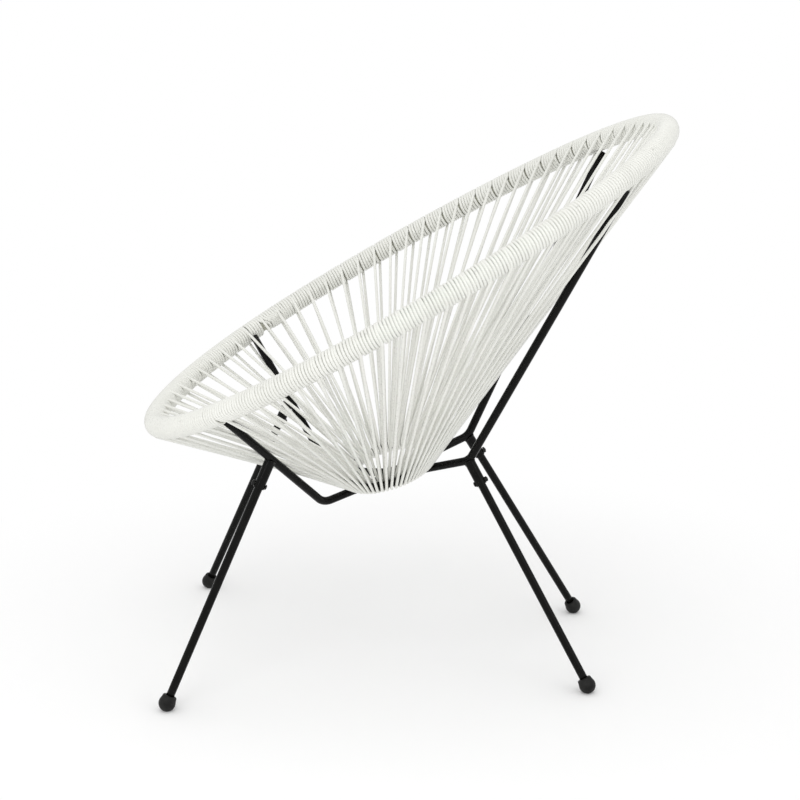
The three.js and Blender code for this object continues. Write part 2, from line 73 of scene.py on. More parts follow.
class Oval:
    """A closed oval in a tilted plane, run from its front round the right side.

    Places on it are given as shares of its length.
    """

    STEPS = 1440
    # The angle on each side of a place over which its direction is taken
    ALONG_REACH = 1e-3

    def __init__(self, half_width, half_length, square, fullness, centre_y, height, tilt):
        turn = Matrix.Rotation(math.radians(tilt), 4, "X")
        self.place = Matrix.Translation((0, centre_y, height)) @ turn
        self.normal = (self.place.to_3x3() @ Vector((0, 0, 1))).normalized()
        self.shape = (half_width, half_length, square, fullness)
        points = [self.point_at(TURN * i / self.STEPS) for i in range(self.STEPS + 1)]
        self.lengths = [0.0]
        for a, b in zip(points, points[1:]):
            self.lengths.append(self.lengths[-1] + (b - a).length)
        self.length = self.lengths[-1]

    def point_at(self, angle):
        width, length, square, fullness = self.shape
        bulge = square * (math.sin(3 * angle) + math.sin(angle)) + fullness * math.sin(2 * angle)
        across = width * (math.sin(angle) + bulge)
        return self.place @ Vector((across, -length * math.cos(angle), 0))

    def angle(self, share):
        wanted = (share % 1.0) * self.length
        low, high = 0, self.STEPS
        while high - low > 1:
            middle = (low + high) // 2
            if self.lengths[middle] <= wanted:
                low = middle
            else:
                high = middle
        part = (wanted - self.lengths[low]) / (self.lengths[high] - self.lengths[low])
        return TURN * (low + part) / self.STEPS

    def share(self, degrees):
        index = degrees / 360 * self.STEPS
        low = int(index)
        step = self.lengths[low + 1] - self.lengths[low]
        return (self.lengths[low] + step * (index - low)) / self.length

    def frame(self, share):
        """The point at a share, the direction along, and the direction outward in the plane."""
        angle, reach = self.angle(share), self.ALONG_REACH
        along = (self.point_at(angle + reach) - self.point_at(angle - reach)).normalized()
        return self.point_at(angle), along, along.cross(self.normal).normalized()


rim = Oval(RIM_HALF_WIDTH, RIM_HALF_LENGTH, RIM_SQUARE, RIM_FULLNESS, 0, RIM_HEIGHT, RIM_TILT)


def mirrored(p):
    return Vector((-p.x, p.y, p.z))


def rod_end(rim_degrees, tuck_degrees):
    """The middle of a right rod's end, against the rim tube.

    The tuck turns it round the tube, from straight below towards the seat.
    """
    point, _, outward = rim.frame(rim.share(rim_degrees))
    tuck = math.radians(tuck_degrees)
    towards_tube = rim.normal * math.cos(tuck) + outward * math.sin(tuck)
    return point - towards_tube * (RIM_TUBE + ROD + GAP)


def rod_corners(side):
    """The ends and bends of a side rod, from its front end to its rear end."""
    front = rod_end(ROD_FRONT_DEGREES, ROD_FRONT_TUCK)
    rear = rod_end(ROD_REAR_DEGREES, ROD_REAR_TUCK)
    corners = [front, FRONT_BEND, WAIST, REAR_BEND, rear]
    return corners if side > 0 else [mirrored(p) for p in corners]


def rounded_path(corners, radii, steps):
    """Points along straight runs between corners, with each bend rounded in steps."""
    path = [corners[0].copy()]
    for i, corner in enumerate(corners[1:-1]):
        back = (corners[i] - corner).normalized()
        on = (corners[i + 2] - corner).normalized()
        half = back.angle(on) / 2
        reach = radii[i] / math.tan(half)
        centre = corner + (back + on).normalized() * (radii[i] / math.sin(half))
        start = corner + back * reach - centre
        end = corner + on * reach - centre
        axis, sweep_angle = start.cross(end).normalized(), start.angle(end)
        for k in range(steps + 1):
            path.append(centre + Matrix.Rotation(sweep_angle * k / steps, 3, axis) @ start)
    path.append(corners[-1].copy())
    return path


def crossing(oval, a, b):
    """Where a straight run of the right rod passes under an oval, as a share of its length."""
    span = Vector((b.x - a.x, b.y - a.y, 0))
    run = span.normalized()
    best = (math.inf, 0.0)
    for i in range(CROSSING_STEPS + 1):
        share = i / (2 * CROSSING_STEPS)
        p = oval.point_at(oval.angle(share))
        off = Vector((p.x - a.x, p.y - a.y, 0))
        if 0 <= off.dot(run) <= span.length:
            best = min(best, (off.cross(run).length, share))
    return best[1]


def hub_oval():
    """The hub ring, laid on both runs of the right rod in turn, as in the CAD model."""
    _, front, waist, rear, _ = rod_corners(1)
    tilt, height = 0.0, waist.z
    apothem = HUB_TUBE * math.cos(math.pi / HUB_FLATS)
    for _ in range(HUB_SEATING_PASSES):
        oval = Oval(HUB_HALF_WIDTH, HUB_HALF_LENGTH, 0, 0, HUB_Y, height, tilt)
        rests = []
        for a, b in ((front, waist), (waist, rear)):
            p, along, _ = oval.frame(crossing(oval, a, b))
            upright = (b - a).normalized().cross(along).normalized()
            part = Vector((p.x - a.x, p.y - a.y)).length / Vector((b.x - a.x, b.y - a.y)).length
            over_rod = (apothem + ROD + GAP) / abs(upright.z)
            rests.append((p.y, a.z + (b.z - a.z) * part + over_rod))
        slope = (rests[1][1] - rests[0][1]) / (rests[1][0] - rests[0][0])
        tilt = math.degrees(math.atan(slope))
        height = rests[0][1] + slope * (HUB_Y - rests[0][0])
    return Oval(HUB_HALF_WIDTH, HUB_HALF_LENGTH, 0, 0, HUB_Y, height, tilt)


hub = hub_oval()


def hub_shares():
    """Each station's place on the hub ring, spread evenly before, between and behind the rods."""
    _, front, waist, rear, _ = rod_corners(1)

    def crossed(a, b):
        """Where a run of the rod crosses the ring, and how much of the ring it keeps free."""
        share = crossing(hub, a, b)
        run = Vector((b.x - a.x, b.y - a.y, 0)).normalized()
        along = hub.frame(share)[1]
        along = Vector((along.x, along.y, 0)).normalized()
        return share, (ROD + CORD / 2 + ROD_CORD_GAP) / along.cross(run).length / hub.length

    front_share, front_room = crossed(front, waist)
    rear_share, rear_room = crossed(waist, rear)
    fronts, rears = (FRONT_HUB_STATIONS - 1) // 2, REAR_HUB_STATIONS // 2
    sides = (STATIONS - FRONT_HUB_STATIONS - REAR_HUB_STATIONS) // 2
    half = [(front_share - front_room) * k / fronts for k in range(1, fronts + 1)]
    low, high = front_share + front_room, rear_share - rear_room
    half += [low + (high - low) * k / (sides - 1) for k in range(sides)]
    behind = 0.5 - rear_share - rear_room
    half += [0.5 - behind * (k + 0.5) / (rears - 0.5) for k in reversed(range(rears))]
    return [0.0] + half + [1 - s for s in reversed(half)]


HUB_SHARES = hub_shares()


# Meshes

def new_object(name, verts, faces, material, smooth=True):
    mesh = bpy.data.meshes.new(name)
    mesh.from_pydata([tuple(v * MM for v in p) for p in verts], [], faces)
    mesh.validate()
    mesh.update()
    if smooth:
        mesh.polygons.foreach_set("use_smooth", [True] * len(mesh.polygons))
    obj = bpy.data.objects.new(name, mesh)
    obj.data.materials.append(material)
    bpy.context.scene.collection.objects.link(obj)
    return obj


def on_circle(radius, angle, height):
    """A point at a radius and an angle about Z."""
    return Vector((radius * math.cos(angle), radius * math.sin(angle), height))


def add_ring(centre, up, across, radius, sides, verts):
    """Adds a ring of vertices that starts at up and turns towards across."""
    for k in range(sides):
        angle = TURN * k / sides
        off = up * (radius * math.cos(angle)), across * (radius * math.sin(angle))
        verts.append(centre + off[0] + off[1])


def join_rings(low, high, sides, faces, flip=False):
    """Adds the faces between two rings of vertices, given by the first vertex of each."""
    for k in range(sides):
        after = (k + 1) % sides
        if flip:
            faces.append((low + k, high + k, high + after, low + after))
        else:
            faces.append((low + k, low + after, high + after, high + k))


def sweep(points, overs, radius, sides, verts, faces, scale=None):
    """Adds a round bar along points. Its section is turned to each point's over direction."""
    base = len(verts)
    last = len(points) - 1
    for i, (p, over) in enumerate(zip(points, overs)):
        before = (p - points[i - 1]).normalized() if i else None
        after = (points[i + 1] - p).normalized() if i < last else None
        forward = (before + after).normalized() if before and after else (before or after)
        across = forward.cross(over).normalized()
        up = across.cross(forward).normalized()
        add_ring(p, up, across, radius * (scale[i] if scale else 1), sides, verts)
    for i in range(last):
        low = base + i * sides
        join_rings(low, low + sides, sides, faces)
    faces.append([base + k for k in reversed(range(sides))])
    faces.append([base + last * sides + k for k in range(sides)])


def turned(profile, steps, place, verts, faces):
    """Adds a profile of (radius, height) turned about Z. Radius 0 at either end closes it there."""
    rings = []
    for radius, height in profile:
        if radius == 0:
            rings.append([len(verts)])
            verts.append(place @ Vector((0, 0, height)))
            continue
        rings.append([len(verts) + k for k in range(steps)])
        verts += [place @ on_circle(radius, TURN * k / steps, height) for k in range(steps)]
    for low, high in zip(rings, rings[1:]):
        for k in range(steps):
            after = (k + 1) % steps
            if len(low) == 1:
                faces.append((low[0], high[after], high[k]))
            elif len(high) == 1:
                faces.append((low[k], low[after], high[0]))
            else:
                faces.append((low[k], low[after], high[after], high[k]))


# Materials

# The part of a noise's values that is spread over the range of a look's roughness
NOISE_LOW, NOISE_HIGH = 0.3, 0.7


def node_material(name, base, roughness, tone, shine, grain, specular=0.5, metallic=0.0):
    """A procedural look, whose colour, roughness and surface are each varied by a noise.

    Each noise is a scale and a detail. After its noise, tone holds the two stops of the colours,
    shine the least and the most roughness, and grain the bump's distance and strength.
    """
    material = bpy.data.materials.new(name)
    material.use_nodes = True
    nodes, links = material.node_tree.nodes, material.node_tree.links
    shader = nodes["Principled BSDF"]
    shader.inputs["Base Color"].default_value = (*base, 1)
    shader.inputs["Roughness"].default_value = roughness
    shader.inputs["Specular IOR Level"].default_value = specular
    shader.inputs["Metallic"].default_value = metallic
    coords = nodes.new("ShaderNodeTexCoord").outputs["Object"]

    def noise(scale, detail):
        texture = nodes.new("ShaderNodeTexNoise")
        texture.inputs["Scale"].default_value = scale
        texture.inputs["Detail"].default_value = detail
        links.new(coords, texture.inputs["Vector"])
        return texture.outputs["Fac"]

    tone_noise, *stops = tone
    colours = nodes.new("ShaderNodeValToRGB")
    for element, (position, colour) in zip(colours.color_ramp.elements, stops):
        element.position = position
        element.color = (*colour, 1)
    links.new(noise(*tone_noise), colours.inputs["Fac"])
    links.new(colours.outputs["Color"], shader.inputs["Base Color"])

    shine_noise, least, most = shine
    spread = nodes.new("ShaderNodeMapRange")
    spread.inputs["From Min"].default_value = NOISE_LOW
    spread.inputs["From Max"].default_value = NOISE_HIGH
    spread.inputs["To Min"].default_value = least
    spread.inputs["To Max"].default_value = most
    links.new(noise(*shine_noise), spread.inputs["Value"])
    links.new(spread.outputs["Result"], shader.inputs["Roughness"])

    grain_noise, distance, strength = grain
    bump = nodes.new("ShaderNodeBump")
    bump.inputs["Strength"].default_value = strength
    bump.inputs["Distance"].default_value = distance
    links.new(noise(*grain_noise), bump.inputs["Height"])
    links.new(bump.outputs["Normal"], shader.inputs["Normal"])
    return material


CORD_LOOK = node_material(
    "cord", (0.80, 0.81, 0.77), 0.36,
    tone=((14, 3), (0.35, (0.772, 0.774, 0.730)), (0.65, (0.806, 0.808, 0.766))),
    shine=((260, 3), 0.24, 0.36),
    grain=((900, 3), 0.0002, 0.09),
    specular=0.45)
PAINT_LOOK = node_material(
    "frame_paint", (0.01, 0.01, 0.009), 0.24,
    tone=((60, 2), (0.35, (0.0026, 0.0026, 0.0022)), (0.65, (0.0042, 0.0042, 0.0036))),
    shine=((90, 4), 0.12, 0.20),
    grain=((520, 2), 0.0003, 0.06),
    specular=0.11)
# Painted shade: the black rim tube gets the olive grey of shaded cord, seen between the turns
RIM_LOOK = node_material(
    "rim_painted_shade", (0.42, 0.42, 0.36), 0.5,
    tone=((70, 3), (0.35, (0.400, 0.400, 0.335)), (0.65, (0.450, 0.450, 0.380))),
    shine=((90, 4), 0.45, 0.60),
    grain=((520, 2), 0.0003, 0.10))
RUBBER_LOOK = node_material(
    "rubber", (0.012, 0.012, 0.011), 0.45,
    tone=((80, 3), (0.35, (0.008, 0.008, 0.0075)), (0.65, (0.016, 0.016, 0.015))),
    shine=((200, 4), 0.38, 0.55),
    grain=((1100, 3), 0.0003, 0.25),
    specular=0.15)
FASTENER_LOOK = node_material(
    "fastener", (0.015, 0.015, 0.014), 0.33,
    tone=((300, 3), (0.35, (0.010, 0.010, 0.0095)), (0.7, (0.022, 0.022, 0.021))),
    shine=((400, 3), 0.25, 0.42),
    grain=((1400, 2), 0.0002, 0.15),
    specular=0.2, metallic=0.3)

for node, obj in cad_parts.items():
    look = PAINT_LOOK
    if node.startswith("seat_cord"):
        look = CORD_LOOK
    # The rim tube gets the painted shade of the cord in place of its black paint
    elif node == "rim_tube":
        look = RIM_LOOK
    elif node.endswith("foot"):
        look = RUBBER_LOOK
    elif node.endswith("bolt") or node.endswith("nut"):
        look = FASTENER_LOOK
    if not obj.material_slots:
        obj.data.materials.append(look)
    for material_slot in obj.material_slots:
        material_slot.material = look


# The cord: wound round the rim, strung to the hub ring and turned round it at each station

# How far the cord's middle is from the middle of the bar under it, with a small gap between
CORD_GAP = 0.05
HUB_REACH = HUB_TUBE + CORD / 2 + CORD_GAP
WRAP_REACH = RIM_TUBE + CORD / 2 + CORD_GAP
# Between two stations the cord takes six and a half turns, from the rim's top to its underside
TURNS = 6.5
TURN_STEPS, HUB_TURN_STEPS, CORD_SIDES = 22, 9, 8
# One station's stretch of the rim holds seven cords side by side. The upper strand stands this
# share of a cord after its station's place, and the lower strand as much before it
STATION_CORDS, STRAND_OFFSET = 7, 0.25
PITCH = rim.length / STATIONS / STATION_CORDS
# The turns lie more upright than square to the rim: their tops are set back, their undersides
# forward. Near a strand they tilt less by this share, which fades over this many turns
WRAP_TILT, TILT_EASE, EASE_TURNS = 2.6, 0.6, 4.0
# A strand runs on in its own direction where it meets the rim. The bend fades with the angle
# round the rim and has this share of its full reach. There the cord rides up on its neighbour
BEND_ANGLE, BEND_SHARE, RIDE_UP = 0.3, 0.6, 0.7
# Wound tight, the turns press together and fill out a little
WOUND_FULLNESS = 1.06
# Small irregularities of the turns on the rim and of the places on the hub ring
TURN_WOBBLE, HUB_WOBBLE = 0.12, 0.25

# Angles round the rim run from its top over its outer side to its underside and inner side. Each
# pair below is the angle, in degrees, at which something starts to change, and its span.
# On the rim's inner side the turns close up under the places that the strands leave open: the
# first turn is set back, each one after it less, and the last ones are set forward
CLOSING_BACK, CLOSING_PER_TURN = 2.0, 0.62
CLOSING_RISE, CLOSING_EASE, CLOSING_FALL = (182.0, 34.0), (238.0, 44.0), (305.0, 50.0)
CLOSING_EASE_SHARE = 0.4

# Where a side rod's front end comes out from under the turns, those behind it are pushed back on
# the rim's underside. The push is full this far past the rod and fades out over this length
PUSH, PUSH_PLACE, PUSH_LENGTH = 13.0, 24.0, 66.0
PUSH_RISE, PUSH_FALL = (82.0, 78.0), (250.0, 60.0)
ROD_SHARE = rim.share(ROD_FRONT_DEGREES)

# At the station beside a rod's front end the upper strand meets the rim this much nearer the
# front. The shift fades with the angle round the rim
ROD_STATION, ROD_STATION_SHIFT, ROD_STATION_FADE = 9, 3.0, 1.2
# Lower strands that pass a rod on its seat side (-1) or its outside (1), by stations from the front
ROD_SIDES = {ROD_STATION: -1, 31: 1}
# A strand that would pass through a rod goes round it with this gap. One with a stated side does
# so from this far off. Neither does where the rod is this near its ends, as a share of its length
STRAND_GAP, STRAND_SEARCH, STRAND_END_SHARE = 0.1, 40.0, 0.02
# The outside of a rod faces away from the chair's middle, and down by this much
OUTSIDE_DROP = -200
ROD_PATH_STEPS = 12


def eased(x):
    """A smooth step from 0 to 1."""
    x = min(1.0, max(0.0, x))
    return x * x * (3 - 2 * x)


def eased_from(degrees, start, span):
    return eased((degrees - start) / span)


def wobble(key):
    """A small steady irregularity between -1 and 1, the same at each run of the script."""
    value = math.sin(key * 12.9898 + 4.1) * 43758.5453
    return 2 * (value - math.floor(value)) - 1


def station_frame(station):
    """One station's lean and slant at the rim, and its place and directions on the hub ring.

    The lean is the angle round the rim at which the upper strand meets it. The slant is how far
    the strands run along the rim for each step across it.
    """
    number = station % STATIONS
    rim_point, rim_along, rim_outward = rim.frame(number / STATIONS)
    hub_point, hub_along, _ = hub.frame(HUB_SHARES[number])
    outward = (rim_point - hub_point).normalized()
    rim_over = outward.cross(rim_along).normalized()
    hub_over = outward.cross(hub_along).normalized()
    lean = math.atan2(rim_over.dot(rim_outward), rim_over.dot(rim.normal))
    slant = outward.dot(rim_along) / outward.cross(rim_along).length
    return lean, slant, hub_point, hub_along, hub_over


def push(share, degrees):
    """How far a rod's front end pushes a turn along the rim, at a share and an angle round it."""
    share %= 1.0
    side = 1 if share < 0.5 else -1
    from_rod = (min(share, 1 - share) - ROD_SHARE) * rim.length - PUSH_PLACE
    if from_rod < 0:
        return 0.0
    around = eased_from(degrees, *PUSH_RISE) * (1 - eased_from(degrees, *PUSH_FALL))
    return side * PUSH * (1 - eased(from_rod / PUSH_LENGTH)) * around


def wrap_points(station, start, end):
    """The cord wound between a station and the next, from one share of that stretch to another."""
    lean_in, slant_in = station_frame(station)[:2]
    lean_out, slant_out = station_frame(station + 1)[:2]
    # The station's shift beside a rod, towards the front on both sides
    rod_shift = {ROD_STATION: -1, STATIONS - ROD_STATION: 1}.get(station % STATIONS, 0)
    total = TURN * TURNS + lean_out - lean_in
    count = round(TURNS * TURN_STEPS * (end - start))
    points, overs = [], []
    for i in range(count + 1):
        part = start + (end - start) * i / count
        since, until = total * part, total * (1 - part)
        angle = lean_in + since
        degrees = math.degrees(angle) % 360
        place = station * STATION_CORDS + STRAND_OFFSET + TURNS * part
        share = place * PITCH / rim.length
        centre, along, outward = rim.frame(share)
        # The tilt of the turns, less near a strand
        upright = math.cos(angle)
        nearest = (since if upright > 0 else until) / TURN
        tilt_share = 1 - TILT_EASE * max(0.0, 1 - nearest / EASE_TURNS)
        shift = WRAP_TILT * along.y * upright * tilt_share
        # The turns closing up on the rim's inner side
        closing = eased_from(degrees, *CLOSING_RISE)
        closing *= 1 - CLOSING_EASE_SHARE * eased_from(degrees, *CLOSING_EASE)
        closing *= 1 - eased_from(degrees, *CLOSING_FALL)
        shift += closing * (CLOSING_PER_TURN * since / TURN - CLOSING_BACK)
        # The strand's own direction, where it meets the rim
        meeting = math.exp(-since / BEND_ANGLE), math.exp(-until / BEND_ANGLE)
        slant = slant_in * meeting[0] + slant_out * meeting[1]
        shift -= WRAP_REACH * BEND_ANGLE * slant * BEND_SHARE
        shift += TURN_WOBBLE * wobble(math.floor(place + 0.5))
        shift += push(share, degrees)
        shift += rod_shift * ROD_STATION_SHIFT * math.exp(-since / ROD_STATION_FADE)
        reach = WRAP_REACH + RIDE_UP * (meeting[0] + meeting[1])
        over = rim.normal * math.cos(angle) + outward * math.sin(angle)
        points.append(centre + over * reach + along * shift)
        overs.append(over)
    return points, overs


def hub_points(station):
    """The cord's half turn round the hub ring, from under it to over it."""
    _, _, hub_point, hub_along, hub_over = station_frame(station)
    # The key keeps these apart from the wobbles of the turns on the rim
    hub_point = hub_point + hub_along * (HUB_WOBBLE * wobble(station * 3 + 1))
    hub_outward = hub_along.cross(hub_over)
    points, overs = [], []
    for k in range(HUB_TURN_STEPS + 1):
        angle = 1.5 * math.pi - math.pi * k / HUB_TURN_STEPS
        over = hub_outward * math.cos(angle) + hub_over * math.sin(angle)
        points.append(hub_point + over * HUB_REACH)
        overs.append(over)
    return points, overs


ROD_PATHS = [rounded_path(rod_corners(side), BEND_RADII, ROD_PATH_STEPS) for side, _ in SIDES]


def strand_clear_of_rods(a, b, side=0):
    """Points between a strand's two ends that take it round a side rod in its way.

    A side of 1 takes the strand past the outside of the rod, and -1 past its seat side.
    """
    reach = ROD + CORD / 2 + STRAND_GAP
    clear = []
    for path in ROD_PATHS:
        nearest, corner = STRAND_SEARCH if side else reach, None
        for c, d in zip(path, path[1:]):
            met = intersect_line_line(a, b, c, d)
            if not met:
                continue
            part = (met[0] - a).dot(b - a) / (b - a).length_squared
            on_strand = STRAND_END_SHARE < part < 1 - STRAND_END_SHARE
            if not (on_strand and 0 <= (met[1] - c).dot(d - c) <= (d - c).length_squared):
                continue
            off = met[0] - met[1]
            if off.length < nearest:
                outward = off.dot(Vector((met[1].x, met[1].y, OUTSIDE_DROP))) > 0
                away = -off if side and (side > 0) != outward else off
                nearest, corner = off.length, (part, met[1] + away.normalized() * reach)
        if corner:
            clear.append(corner)
    return [p for _, p in sorted(clear, key=lambda item: item[0])]


def build_run(number):
    """One run of the cord: its stations' strands, and the winding to half way past its last one."""
    verts, faces = [], []
    first = (number - 1) * STATIONS_PER_RUN - (STATIONS_PER_RUN - 1) // 2
    points, overs = wrap_points(first - 1, 0.5, 1.0)
    scale = [WOUND_FULLNESS] * len(points)
    for k in range(STATIONS_PER_RUN):
        station = first + k
        turn, turn_overs = hub_points(station)
        last = k == STATIONS_PER_RUN - 1
        wound, wound_overs = wrap_points(station, 0.0, 0.5 if last else 1.0)
        from_front = min(station % STATIONS, STATIONS - station % STATIONS)
        down = strand_clear_of_rods(points[-1], turn[0], ROD_SIDES.get(from_front, 0))
        up = strand_clear_of_rods(turn[-1], wound[0])
        points += down + turn + up + wound
        scale += [1.0] * (len(down) + len(turn) + len(up)) + [WOUND_FULLNESS] * len(wound)
        overs += [overs[-1]] * len(down) + turn_overs + [turn_overs[-1]] * len(up) + wound_overs
    sweep(points, overs, CORD / 2, CORD_SIDES, verts, faces, scale)
    name = "seat_cord_run_%02d" % number
    obj = new_object("wound_" + name, verts, faces, CORD_LOOK)
    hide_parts(name)
    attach(obj, "root")


for number in range(1, STATIONS // STATIONS_PER_RUN + 1):
    build_run(number)


# The frame: hub ring, side rods, legs with their sleeves, cross bolts and feet

HUB_STEPS, HUB_SIDES = 96, 20
ROD_BEND_STEPS, BAR_SIDES = 18, 24
# Straight runs of the rods are split at this length, so that the paint's bump has enough faces
ROD_FACE_LENGTH = 40
# The directions that the sections of rods, legs and weld beads are turned to
ROD_OVER = Vector((0, -1, 1)).normalized()
LEG_OVER = Vector((0, -1, 0.2)).normalized()
BEAD_OVER = Vector((0.3, 0.2, 1)).normalized()
# A weld bead starts at this share of its radius and is full after this many points. It swells by
# one share in waves, of so many radians for each point, and by another share unevenly
BEAD_END, BEAD_END_POINTS = 0.35, 2
BEAD_SWELL, BEAD_WAVE, BEAD_UNEVEN = 0.16, 2.1, 0.08
BEAD_SIDES = 10
# Beads in the corners of crossing bars: their radius and steps, then their distance from the
# crossing and their length as shares of a bar's radius
CORNER_BEAD, CORNER_BEAD_STEPS = 1.5, 6
CORNER_BEAD_OFF, CORNER_BEAD_LENGTH = 0.62, 0.55
# Beads over and under the place where the rods touch at the waist
WAIST_BEAD, WAIST_BEAD_STEPS, WAIST_BEAD_LENGTH, WAIST_BEAD_RISE = 1.9, 10, 34, 2.6


def add_piece(name, node, verts, faces, look, smooth=True):
    obj = new_object(name, verts, faces, look, smooth)
    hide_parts(node)
    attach(obj, "root")


def bead(points, radius, seed, verts, faces):
    """Adds a weld bead along points, lumpy where each drop of the weld set."""
    scale = []
    for i in range(len(points)):
        from_end = min(i, len(points) - 1 - i)
        ends = min(1.0, BEAD_END + (1 - BEAD_END) * from_end / BEAD_END_POINTS)
        lumps = BEAD_SWELL * math.sin(BEAD_WAVE * i + seed)
        scale.append(ends * (1 + lumps + BEAD_UNEVEN * wobble(i + seed)))
    sweep(points, [BEAD_OVER] * len(points), radius, BEAD_SIDES, verts, faces, scale)


def crossing_beads(point, a_run, b_run, reach, seed, verts, faces):
    """Adds short beads in the four corners where two round bars cross and touch at a point."""
    a_run, b_run = a_run.normalized(), b_run.normalized()
    normal = a_run.cross(b_run).normalized()
    for turn in (1, -1):
        middle = (a_run + b_run * turn).normalized()
        side = normal.cross(middle)
        for way in (1, -1):
            centre = point + side * (reach * CORNER_BEAD_OFF * way)
            points = [centre + middle * (reach * CORNER_BEAD_LENGTH * (k / CORNER_BEAD_STEPS - 0.5))
                      for k in range(CORNER_BEAD_STEPS + 1)]
            bead(points, CORNER_BEAD, seed + turn + 2 * way, verts, faces)


def build_hub():
    verts, faces = [], []
    for i in range(HUB_STEPS):
        p, _, outward = hub.frame(i / HUB_STEPS)
        add_ring(p, hub.normal, outward, HUB_TUBE, HUB_SIDES, verts)
    for i in range(HUB_STEPS):
        join_rings(i * HUB_SIDES, (i + 1) % HUB_STEPS * HUB_SIDES, HUB_SIDES, faces, flip=True)
    # Welds where the ring sits on the two rods, and where the rods touch at the waist
    for side, _ in SIDES:
        _, front, waist, rear, _ = rod_corners(side)
        for a, b in ((front, waist), (waist, rear)):
            share = crossing(hub, *((a, b) if side > 0 else (mirrored(a), mirrored(b))))
            p, along, _ = hub.frame(share if side > 0 else 1 - share)
            touch = p - hub.normal * (HUB_TUBE + GAP / 2)
            crossing_beads(touch, along, b - a, ROD, side + a.y, verts, faces)
    middle = Vector((0, WAIST.y, WAIST.z))
    for over in (1, -1):
        points = []
        for k in range(WAIST_BEAD_STEPS + 1):
            forward = (k / WAIST_BEAD_STEPS - 0.5) * WAIST_BEAD_LENGTH
            points.append(middle + Vector((0, forward, WAIST_BEAD_RISE * over)))
        bead(points, WAIST_BEAD, over, verts, faces)
    add_piece("hub_ring_bar", "hub_ring", verts, faces, PAINT_LOOK)


build_hub()


def build_rod(side, word):
    verts, faces = [], []
    path = rounded_path(rod_corners(side), BEND_RADII, ROD_BEND_STEPS)
    points = [path[0]]
    for a, b in zip(path, path[1:]):
        parts = max(1, round((b - a).length / ROD_FACE_LENGTH))
        points += [a.lerp(b, k / parts) for k in range(1, parts + 1)]
    sweep(points, [ROD_OVER] * len(points), ROD, BAR_SIDES, verts, faces)
    add_piece("side_rod_bar_" + word, "side_rod_" + word, verts, faces, PAINT_LOOK)


for side, word in SIDES:
    build_rod(side, word)


# Sizes of the legs and what they carry, as in the CAD model
LEG, SLEEVE = 6.35, 8.35
FRONT_FOOT, REAR_FOOT = (257.3, -348.3), (166.0, 287.6)
FRONT_LEG_SHARE, LEG_TOP_GAP = 0.525, 3
FRONT_REACH, REAR_REACH = 48.0, 44.5
SLEEVE_DROP, BOLT_SETBACK = 5.0, 5.2
BOLT, BOLT_HEAD, BOLT_HEAD_HEIGHT, BOLT_TAIL = 2.5, 4.2, 2.6, 0.8
NUT_FLATS, NUT_HEIGHT = 8.0, 3.4
FOOT, FOOT_TOP, FOOT_SHOULDER, FOOT_PRESS, FOOT_SOCKET_DEPTH = 13.0, 11.0, 12.0, 1.0, 17

LEG_STEPS = 12
# A sleeve's wall ends at least this share of SLEEVE_DROP under the rod's middle
SADDLE_SHARE = 0.6
# The sleeve's lower lip, from its bore to its outside: radius, and height over its lower end
SLEEVE_LIP = ((6.7, 5), (6.7, 0.5), (6.95, 0.1), (7.3, 0), (7.9, 0), (8.22, 0.12),
              (SLEEVE, 0.5), (SLEEVE, 1.2))
SLEEVE_STEPS, SLEEVE_ROWS = 48, 4
# The bead round the sleeve's top: its radius, and how far it is set in and down from the edge
SLEEVE_BEAD, SLEEVE_BEAD_IN, SLEEVE_BEAD_DOWN = 1.35, 0.5, 0.2
# The bolt's tip: how far inside the shank's radius, and height over the tip
BOLT_TIP = ((0.6, 0), (0.25, 0.15), (0, 0.5))
# The shank has a ring this far in from the nut's face
SHANK_RING = 0.5
# The shank's upper end and the head's rim: radius, and height over the face under the head
BOLT_NECK = ((BOLT, -0.1), (BOLT + 0.1, 0), (BOLT_HEAD - 0.3, 0), (BOLT_HEAD, 0.2))
# The head's dome starts at this height, and this power makes it fuller than a quarter round
BOLT_DOME_START, BOLT_DOME_POWER, BOLT_DOME_STEPS, BOLT_STEPS = 0.5, 0.8, 8, 28
# The nut's bevel starts at this share of its flats' radius and falls by this share of its width
NUT_BEVEL_SHARE, NUT_BEVEL_FALL, NUT_FIT, NUT_STEPS = 0.94, 0.55, 0.1, 48
FOOT_STEPS, FOOT_DOME_STEPS = 40, 12
# The foot's outline over its dome, up its side and over its top edge into the leg's hole
FOOT_SIDE = (
    (FOOT - 0.25, 2.5), (FOOT_TOP + 0.35, FOOT_SHOULDER - 4.5), (FOOT_TOP, FOOT_SHOULDER - 2.5),
    (FOOT_TOP - 0.25, FOOT_SHOULDER - 1.3), (FOOT_TOP - 0.9, FOOT_SHOULDER - 0.5),
    (FOOT_TOP - 1.8, FOOT_SHOULDER - 0.1), (FOOT_TOP - 2.5, FOOT_SHOULDER),
    (LEG + 0.7, FOOT_SHOULDER), (LEG + GAP, FOOT_SHOULDER - 0.4), (LEG + GAP, FOOT_SHOULDER - 6))


